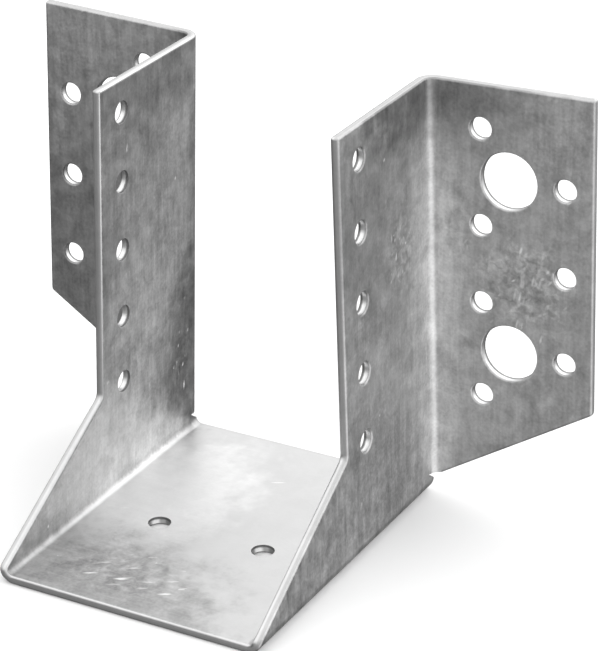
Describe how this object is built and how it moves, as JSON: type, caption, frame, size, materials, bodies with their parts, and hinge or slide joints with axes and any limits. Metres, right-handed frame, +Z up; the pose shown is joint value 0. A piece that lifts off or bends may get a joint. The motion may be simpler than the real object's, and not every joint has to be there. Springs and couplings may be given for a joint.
{
  "type": "joist hanger",
  "caption": "Folded galvanised steel joist hanger: a U-shaped pocket with sloped side edges and two flanges punched with bolt and nail holes.",
  "frame": {"origin": "on the underside of the seat, midway across its width and midway along its depth", "axes": "+X across the joist, +Y from the open front to the header face, +Z up from the seat"},
  "size_m": [0.1386, 0.081, 0.0997],
  "materials": {
    "zinc_sheet": "hot-dip galvanised, satin, with fine mottling and light scuffs"
  },
  "bodies": {
    "root": {"hanger": "zinc_sheet"}
  },
  "joints": []
}
